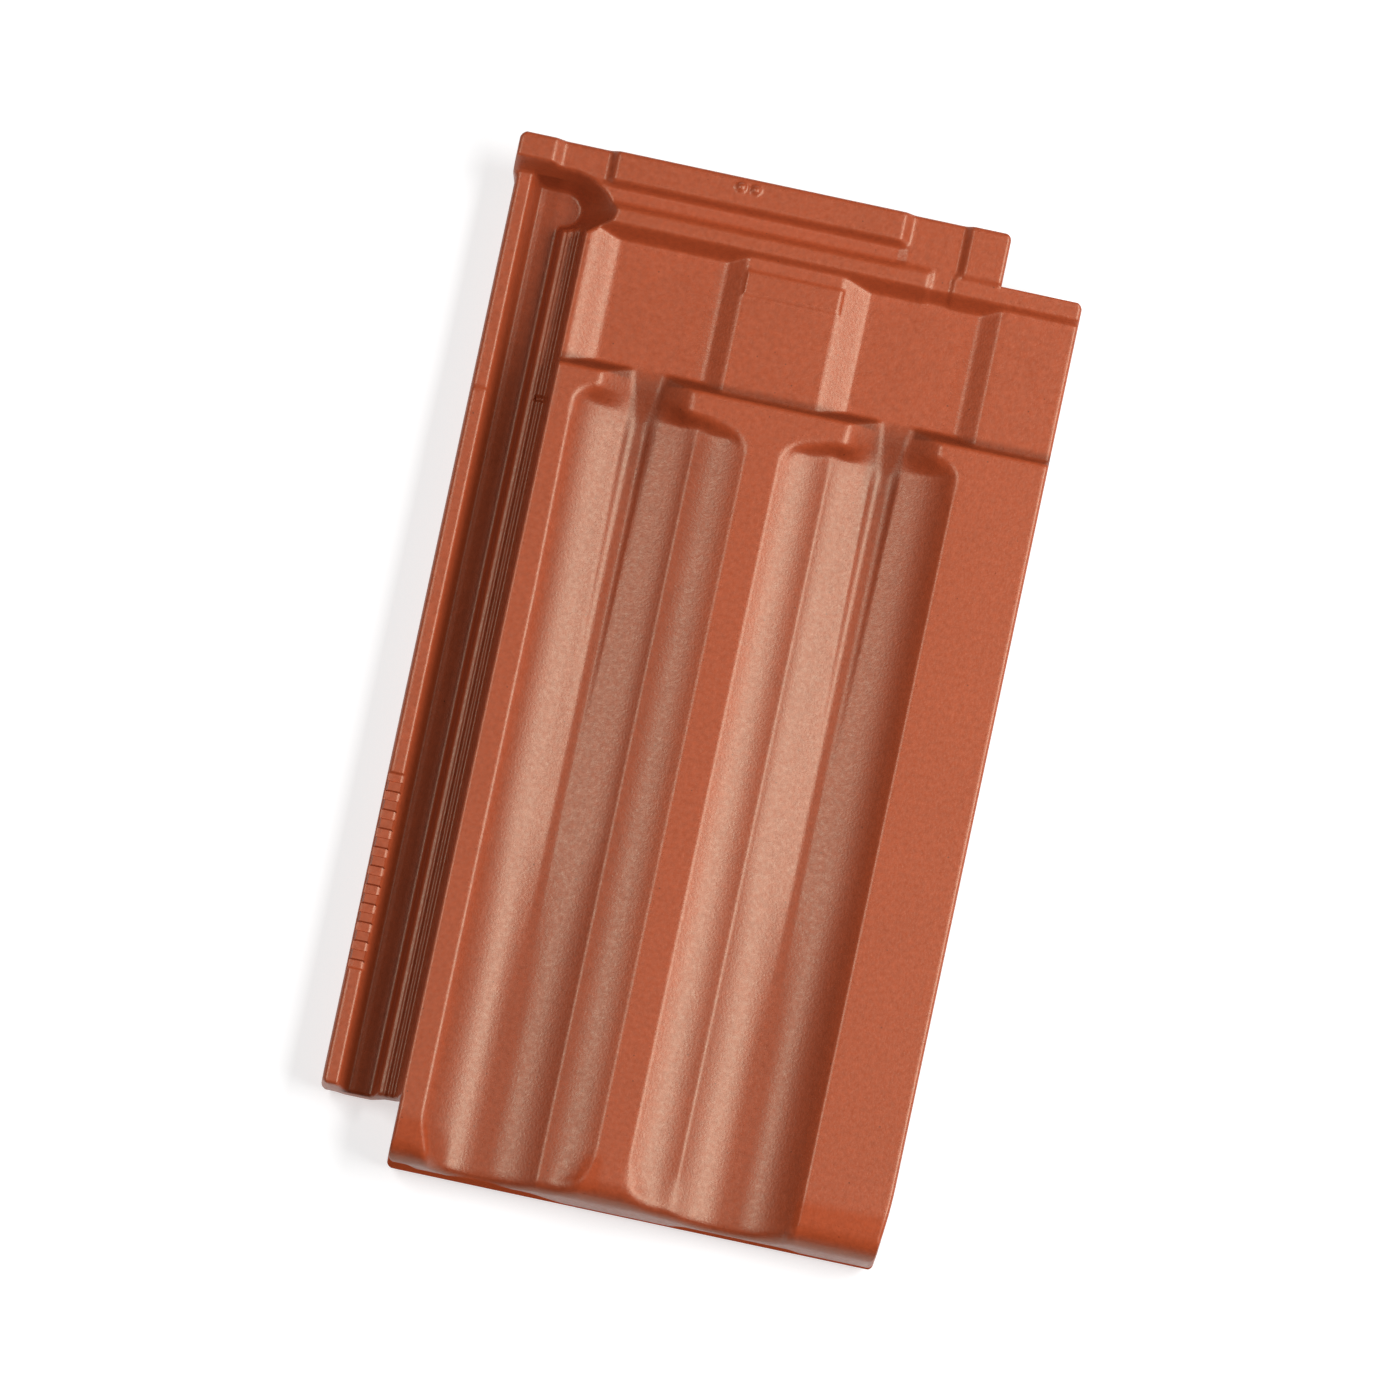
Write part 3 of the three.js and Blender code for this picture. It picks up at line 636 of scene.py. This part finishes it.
def clayMaterial():
    mat = bpy.data.materials.new("fired_clay")
    mat.use_nodes = True
    tree = mat.node_tree
    shader = tree.nodes["Principled BSDF"]
    coords = addNode(tree, "ShaderNodeTexCoord").outputs["Object"]
    split = addNode(tree, "ShaderNodeSeparateXYZ", None, Vector=coords)
    x, y, z = (split.outputs[k] for k in "XYZ")

    cloud = noise(tree, coords, clay["cloudSize"])
    blotch = noise(tree, coords, clay["blotchSize"], 4.0)
    tone = calc(tree, "MULTIPLY", around(tree, cloud, clay["cloud"]), around(tree, blotch, clay["blotch"]))

    pit = addNode(tree, "ShaderNodeTexVoronoi", None, Vector=coords, Scale=1 / (clay["pitSize"] * mm))
    chosen = calc(tree, "GREATER_THAN", addNode(tree, "ShaderNodeSeparateColor", None,
                                                 Color=pit.outputs["Color"]).outputs[0],
                  clay["pitShare"])
    inPit = calc(tree, "MULTIPLY", calc(tree, "LESS_THAN", pit.outputs["Distance"], clay["pitWide"]), chosen)
    tone = calc(tree, "MULTIPLY", tone, calc(tree, "MULTIPLY_ADD", inPit, clay["pitShade"] - 1, 1.0))

    def both(a, b):
        return calc(tree, "MULTIPLY", a, b)

    def shaded(value, where, factor):
        return both(value, calc(tree, "MULTIPLY_ADD", where, factor - 1, 1.0))

    def faded(value, name, start=0.0, end=1.0):
        return between(tree, value, *fades[name], start, end)

    # painted shade: the colour in the troughs is darkened by place, below the rolls' height
    troughShadeMask = both(both(faded(z, "troughTop"), faded(y, "troughHead")), faded(x, "bodySide"))
    tone = shaded(tone, troughShadeMask, clay["troughShade"])

    aside = calc(tree, "ABSOLUTE", calc(tree, "SUBTRACT", x, tile["axisX"] * mm))
    # painted shade in the V where each spout runs into its trough
    inV = both(faded(aside, "spoutInner"), faded(aside, "spoutOuter"))
    spoutShadeMask = both(both(faded(y, "spoutFoot"), faded(y, "spoutHead")), inV)
    tone = shaded(tone, spoutShadeMask, clay["spoutShade"])

    # painted shade on the step from the plateau down to the panels, beside the spouts
    beside = calc(tree, "MAXIMUM", faded(aside, "besideInner"), faded(aside, "besideOuter"))
    stepShadeMask = both(both(faded(y, "stepFoot"), faded(y, "stepHead")), beside)
    stepShadeMask = both(stepShadeMask, faded(x, "bodySide"))
    tone = shaded(tone, stepShadeMask, clay["stepShade"])

    # painted shade in the side channel; the same mask also lowers the gloss there
    across = both(faded(x, "channelLeft"), faded(x, "channelRight", fades["channelRightLeast"]))
    across = both(across, faded(x, "lapSide"))
    inside = both(faded(z, "channelTop"), faded(z, "channelBottom"))
    channelShadeAndGlossMask = both(both(across, inside), faded(y, "channelHead", fades["channelHeadLeast"]))
    tone = shaded(tone, channelShadeAndGlossMask, clay["channelShade"])

    edge = fades["slipEdge"] * mm   # height of the slip's edge on the nose
    for span, step in fades["slipSteps"]:
        edge = calc(tree, "MULTIPLY_ADD", between(tree, x, *span), step * mm, edge)
    below = faded(calc(tree, "SUBTRACT", z, edge), "slipBelow")
    bare = both(both(below, faded(y, "noseFront")), faded(y, "noseEnd"))
    tone = shaded(tone, bare, clay["bareShade"])

    colour = addNode(tree, "ShaderNodeVectorMath", {"operation": "SCALE"}, in0=clay["flat"], Scale=tone)
    tree.links.new(colour.outputs["Vector"], shader.inputs["Base Color"])

    sheen = noise(tree, coords, clay["sheenSize"], 4.0)
    rough = around(tree, sheen, clay["sheen"], clay["roughness"])
    rough = calc(tree, "ADD", rough, around(tree, blotch, clay["blotchSheen"], 0.0))
    tree.links.new(rough, shader.inputs["Roughness"])

    grain = noise(tree, coords, clay["grainSize"], 2.0)
    bump = addNode(tree, "ShaderNodeBump", None, Height=grain, Strength=1.0, Distance=clay["grain"] * mm)
    tree.links.new(bump.outputs["Normal"], shader.inputs["Normal"])
    overTrough = both(both(faded(z, "shineTop"), faded(x, "bodySide")),
                      both(faded(y, "shineFoot"), faded(y, "troughHead")))
    shine = shaded(clay["specular"], channelShadeAndGlossMask, clay["channelShine"])
    shine = shaded(shine, overTrough, clay["spoutShine"])
    beyond = calc(tree, "MAXIMUM", faded(x, "leftFoot"), faded(x, "rightFoot"))
    nearFoot = both(both(faded(y, "footEnd"), faded(z, "footTop")), beyond)
    shine = shaded(shine, nearFoot, clay["footShine"])
    tree.links.new(shaded(shine, bare, 0), shader.inputs["Specular IOR Level"])
    shader.inputs["Specular Tint"].default_value = (*clay["tint"], 1)
    return mat


# raised pads of the length scale on the rib of the side lap
scalePads = {"count": 10, "pitch": 8.7, "first": -146.35, "x": -126.1, "low": 24.2, "height": 1.35,
             "width": 7.4, "length": 5.2, "narrows": 0.74}


def padTree():
    tree = bpy.data.node_groups.new("scale_pads", "GeometryNodeTree")
    for name in ("Pitch", "Height", "Width", "Length", "Narrows"):
        tree.interface.new_socket(name, in_out="INPUT", socket_type="NodeSocketFloat")
    tree.interface.new_socket("Count", in_out="INPUT", socket_type="NodeSocketInt")
    tree.interface.new_socket("Clay", in_out="INPUT", socket_type="NodeSocketMaterial")
    tree.interface.new_socket("Geometry", in_out="OUTPUT", socket_type="NodeSocketGeometry")
    given = tree.nodes.new("NodeGroupInput").outputs
    half = math.sqrt(0.5)   # a cone with four sides turned by 45 degrees has sides of length 1

    top = calc(tree, "MULTIPLY", given["Narrows"], half)
    pad = addNode(tree, "GeometryNodeMeshCone", None, Vertices=4, Radius_Top=top, Radius_Bottom=half,
                  Depth=given["Height"])
    turned = addNode(tree, "GeometryNodeTransform", None, Geometry=pad.outputs["Mesh"],
                     Rotation=(0, 0, math.radians(45)))
    size = addNode(tree, "ShaderNodeCombineXYZ", None, X=given["Width"], Y=given["Length"], Z=1.0)
    sized = addNode(tree, "GeometryNodeTransform", None, Geometry=turned.outputs["Geometry"],
                    Scale=size.outputs["Vector"])
    step = addNode(tree, "ShaderNodeCombineXYZ", None, Y=given["Pitch"])
    row = addNode(tree, "GeometryNodeMeshLine", None, Count=given["Count"], Offset=step.outputs["Vector"])
    placed = addNode(tree, "GeometryNodeInstanceOnPoints", None, Points=row.outputs["Mesh"],
                     Instance=sized.outputs["Geometry"])
    real = addNode(tree, "GeometryNodeRealizeInstances", None, Geometry=placed.outputs["Instances"])
    dressed = addNode(tree, "GeometryNodeSetMaterial", None, Geometry=real.outputs["Geometry"],
                      Material=given["Clay"])
    out = tree.nodes.new("NodeGroupOutput")
    tree.links.new(dressed.outputs["Geometry"], out.inputs["Geometry"])
    return tree


def buildScalePads(material):
    spec = scalePads
    holder = bpy.data.objects.new("pad_row", bpy.data.meshes.new("pad_row"))
    bpy.context.collection.objects.link(holder)
    modifier = holder.modifiers.new("pads", "NODES")
    modifier.node_group = padTree()
    values = {"Pitch": spec["pitch"] * mm, "Height": spec["height"] * mm, "Width": spec["width"] * mm,
              "Length": spec["length"] * mm, "Narrows": spec["narrows"], "Count": spec["count"],
              "Clay": material}
    for item in modifier.node_group.interface.items_tree:
        if item.in_out == "INPUT":
            modifier[item.identifier] = values[item.name]
    shaped = holder.evaluated_get(bpy.context.evaluated_depsgraph_get())
    mesh = bpy.data.meshes.new_from_object(shaped)
    mesh.transform(Matrix.Translation(Vector((spec["x"], spec["first"], spec["low"])) * mm))
    bpy.data.objects.remove(holder)
    pads = bpy.data.objects.new("scale_pads", mesh)
    bpy.context.collection.objects.link(pads)
    return pads


firedClay = clayMaterial()
surface = buildTile()
surface.data.materials.append(firedClay)
pads = buildScalePads(firedClay)
for piece in (surface, pads):
    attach(piece, "root")
    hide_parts("roof_tile")
surface.data.calc_loop_triangles()
print("tile surface", len(surface.data.loop_triangles), "triangles")

# the camera looks down on the laid tile from above its foot
view = {"tilt": 11.0, "roll": 12.05, "pixelsPerMm": 2.235, "frame": 1400, "sensor": 36,
        "lens": 1200,      # past about 1700 the tile is too far off for the other views to draw
        "right": 0.5, "up": 2.4, "aimZ": 36, "farthest": 200}


def addCamera():
    tilt, roll = math.radians(view["tilt"]), math.radians(view["roll"])
    back = Vector((0, -math.sin(tilt), math.cos(tilt)))
    right = Vector((0, 1, 0)).cross(back).normalized()
    up = back.cross(right)
    distance = view["frame"] / view["pixelsPerMm"] * view["lens"] / view["sensor"]
    aim = Vector((0, 0, view["aimZ"])) - right * view["right"] - up * view["up"]
    spunRight = right * math.cos(roll) + up * math.sin(roll)
    spunUp = up * math.cos(roll) - right * math.sin(roll)
    data = bpy.data.cameras.new("camera")
    data.lens, data.sensor_width = view["lens"], view["sensor"]
    data.clip_end = view["farthest"]
    cam = bpy.data.objects.new("camera", data)
    turn = Matrix((spunRight, spunUp, back)).transposed().to_4x4()
    cam.matrix_world = Matrix.Translation((aim + back * distance) * mm) @ turn
    bpy.context.collection.objects.link(cam)
    bpy.context.scene.camera = cam


studio = {
    "floorSize": 3.0, "floorColour": (0.5, 0.5, 0.5), "floorGlow": 0.62, "floorRoughness": 0.9,
    "world": 0.03, "aimZ": 0.03,
    # where each soft box stands over the tile, its width and length, and its power
    "keyRight": {"at": (0.86, 0.13, 1.13), "size": (0.62, 1.45), "power": 27.3},
    "fillLeft": {"at": (-1.0, 0.14, 1.75), "size": (0.16, 1.0), "power": 15.8},
}


def addFloor():
    h = studio["floorSize"]
    mesh = bpy.data.meshes.new("floor")
    mesh.from_pydata([(-h, -h, 0), (h, -h, 0), (h, h, 0), (-h, h, 0)], [], [(0, 1, 2, 3)])
    floor = bpy.data.objects.new("floor", mesh)
    mat = bpy.data.materials.new("pale_floor")
    mat.use_nodes = True
    shader = mat.node_tree.nodes["Principled BSDF"]
    shader.inputs["Base Color"].default_value = (*studio["floorColour"], 1)
    shader.inputs["Roughness"].default_value = studio["floorRoughness"]
    shader.inputs["Emission Color"].default_value = (1, 1, 1, 1)
    shader.inputs["Emission Strength"].default_value = studio["floorGlow"]
    mesh.materials.append(mat)
    bpy.context.collection.objects.link(floor)


def addLights():
    for name in ("keyRight", "fillLeft"):
        spec = studio[name]
        place = Vector(spec["at"])
        away = Vector((place.x, 0, place.z - studio["aimZ"])).normalized()   # the long side runs along the tile
        turn = Matrix((Vector((0, 1, 0)).cross(away), (0, 1, 0), away)).transposed().to_4x4()
        data = bpy.data.lights.new(name, "AREA")
        data.shape, data.size, data.size_y = "RECTANGLE", *spec["size"]
        data.energy = spec["power"]
        lamp = bpy.data.objects.new(name, data)
        lamp.matrix_world = Matrix.Translation(place) @ turn
        bpy.context.collection.objects.link(lamp)
    world = bpy.data.worlds.new("studio")
    world.use_nodes = True
    background = world.node_tree.nodes["Background"]
    background.inputs["Color"].default_value = (1, 1, 1, 1)
    background.inputs["Strength"].default_value = studio["world"]
    bpy.context.scene.world = world
    bpy.context.scene.view_settings.view_transform = "Standard"


addCamera()
addFloor()
addLights()
print("studio ready")
